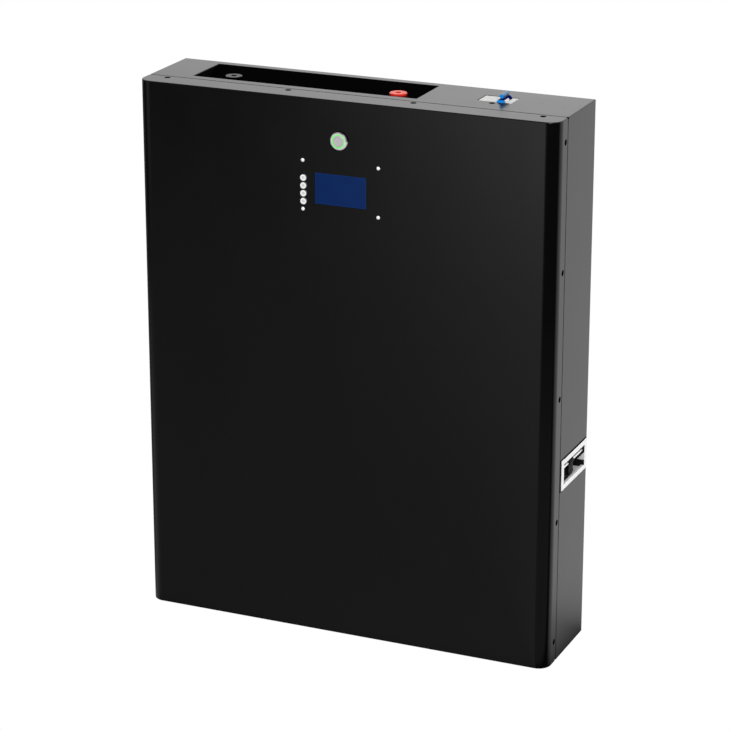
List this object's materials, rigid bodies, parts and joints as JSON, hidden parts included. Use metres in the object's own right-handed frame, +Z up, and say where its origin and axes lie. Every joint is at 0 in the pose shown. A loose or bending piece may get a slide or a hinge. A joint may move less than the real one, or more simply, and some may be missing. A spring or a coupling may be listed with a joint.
{
  "type": "home battery pack",
  "caption": "Slim black home battery cabinet with a sunk terminal pocket, breaker, power button, small display and folding side handles.",
  "frame": {"origin": "centre of the enclosure's footprint, on its bottom face", "axes": "+Z up, -Y out of the front cover, +X to the breaker's side"},
  "size_m": [0.603, 0.147, 0.7678],
  "materials": {
    "case_paint": "satin black powder coat",
    "pocket_paint": "matte black powder coat",
    "black_screws": "black zinc",
    "zinc_steel": "zinc plated",
    "chrome": "polished",
    "button_steel": "satin stainless",
    "handle_steel": "polished stainless",
    "handle_black": "black moulded grip",
    "led_green": "lit translucent green",
    "black_rubber": "black",
    "key_white": "white moulded",
    "window_blue": "tinted window",
    "black_plastic": "moulded",
    "red_plastic": "moulded",
    "breaker_white": "moulded",
    "toggle_blue": "moulded",
    "brass": "machined",
    "circuit_board": "solder mask",
    "cell_wrap": "blue film over aluminium",
    "bare_aluminium": "mill",
    "copper_bar": "copper bar"
  },
  "bodies": {
    "enclosure": {"rear_case": "case_paint", "front_cover": "case_paint", "terminal_tray": "pocket_paint", "cover_screws": "black_screws", "breaker_screws": "black_screws", "cover_nuts": "zinc_steel", "wall_nuts": "zinc_steel", "terminal_nuts": "zinc_steel", "breaker_bracket": "zinc_steel", "breaker_pin": "zinc_steel", "breaker_clamps": "zinc_steel", "display_standoffs": "zinc_steel", "bms_standoffs": "zinc_steel", "bottom_rails": "zinc_steel", "middle_shelf": "zinc_steel", "display_screws": "chrome", "right_handle_rod": "chrome", "left_handle_rod": "chrome", "button_housing": "button_steel", "button_nut": "button_steel", "right_handle_pan": "handle_steel", "left_handle_pan": "handle_steel", "button_led_ring": "led_green", "button_gasket": "black_rubber", "handle_pads": "black_rubber", "display_lens": "window_blue", "button_switch_block": "black_plastic", "lcd_module": "black_plastic", "negative_terminal": "black_plastic", "negative_collar": "black_plastic", "key_switches": "black_plastic", "bms_mosfets": "black_plastic", "positive_terminal": "red_plastic", "positive_collar": "red_plastic", "breaker_body": "breaker_white", "negative_insert": "brass", "positive_insert": "brass", "display_board": "circuit_board", "sense_boards": "circuit_board", "bms_board": "circuit_board", "cells_lower": "cell_wrap", "cells_upper": "cell_wrap", "busbars_lower": "bare_aluminium", "busbars_upper": "bare_aluminium", "end_plates": "bare_aluminium", "bms_heat_sink": "bare_aluminium", "parallel_links": "copper_bar", "positive_output_bar": "copper_bar", "positive_input_bar": "copper_bar", "negative_output_bar": "copper_bar", "negative_input_bar": "copper_bar"},
    "power_button": {"button_cap": "button_steel"},
    "key_1": {"key_cap_1": "key_white"},
    "key_2": {"key_cap_2": "key_white"},
    "key_3": {"key_cap_3": "key_white"},
    "key_4": {"key_cap_4": "key_white"},
    "breaker_toggle": {"breaker_handle": "toggle_blue"},
    "right_handle": {"right_handle_grip": "handle_black"},
    "left_handle": {"left_handle_grip": "handle_black"}
  },
  "joints": [
    {"name": "power_button_press", "type": "slide", "parent": "enclosure", "child": "power_button", "axis": [0, 1, 0], "range_m": [0, 0.002], "stiffness_N_per_m": 1500},
    {"name": "key_1_press", "type": "slide", "parent": "enclosure", "child": "key_1", "axis": [0, 1, 0], "range_m": [0, 0.0005], "stiffness_N_per_m": 3000},
    {"name": "key_2_press", "type": "slide", "parent": "enclosure", "child": "key_2", "axis": [0, 1, 0], "range_m": [0, 0.0005], "stiffness_N_per_m": 3000},
    {"name": "key_3_press", "type": "slide", "parent": "enclosure", "child": "key_3", "axis": [0, 1, 0], "range_m": [0, 0.0005], "stiffness_N_per_m": 3000},
    {"name": "key_4_press", "type": "slide", "parent": "enclosure", "child": "key_4", "axis": [0, 1, 0], "range_m": [0, 0.0005], "stiffness_N_per_m": 3000},
    {"name": "breaker_toggle_swing", "type": "hinge", "parent": "enclosure", "child": "breaker_toggle", "pos_m": [0.1918, 0.02, 0.7557], "axis": [0, 1, 0], "range_deg": [-38, 38]},
    {"name": "right_handle_swing", "type": "hinge", "parent": "enclosure", "child": "right_handle", "pos_m": [0.297, 0.0115, 0.2728], "axis": [0, -1, 0], "range_deg": [0, 90]},
    {"name": "left_handle_swing", "type": "hinge", "parent": "enclosure", "child": "left_handle", "pos_m": [-0.297, 0.0115, 0.2728], "axis": [0, 1, 0], "range_deg": [0, 90]}
  ]
}
